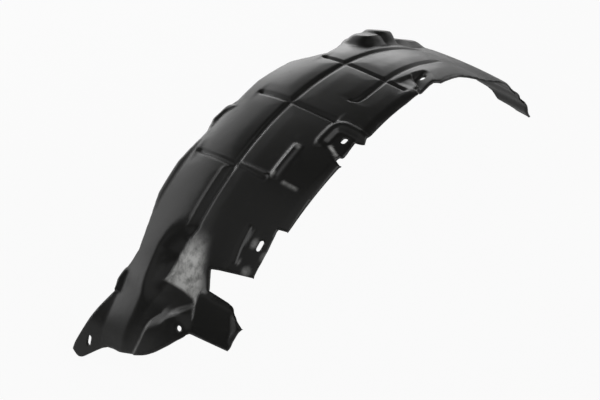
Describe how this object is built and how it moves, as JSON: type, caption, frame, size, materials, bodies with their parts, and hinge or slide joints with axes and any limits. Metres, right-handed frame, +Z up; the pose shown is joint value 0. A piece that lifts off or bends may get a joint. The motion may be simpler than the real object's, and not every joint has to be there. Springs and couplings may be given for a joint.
{
  "type": "wheel arch liner",
  "caption": "One-piece formed plastic liner for a car's wheel arch, with grooves, edge slots, a skirt and a boot at the toe end.",
  "frame": {"origin": "middle of the liner's length and width, at the height of its lowest point", "axes": "+X along the car from the toe end to the tail, +Y inboard, +Z up"},
  "size_m": [0.636, 0.233, 0.2752],
  "materials": {
    "black_polyethylene": "satin"
  },
  "bodies": {
    "root": {"liner": "black_polyethylene"}
  },
  "joints": []
}
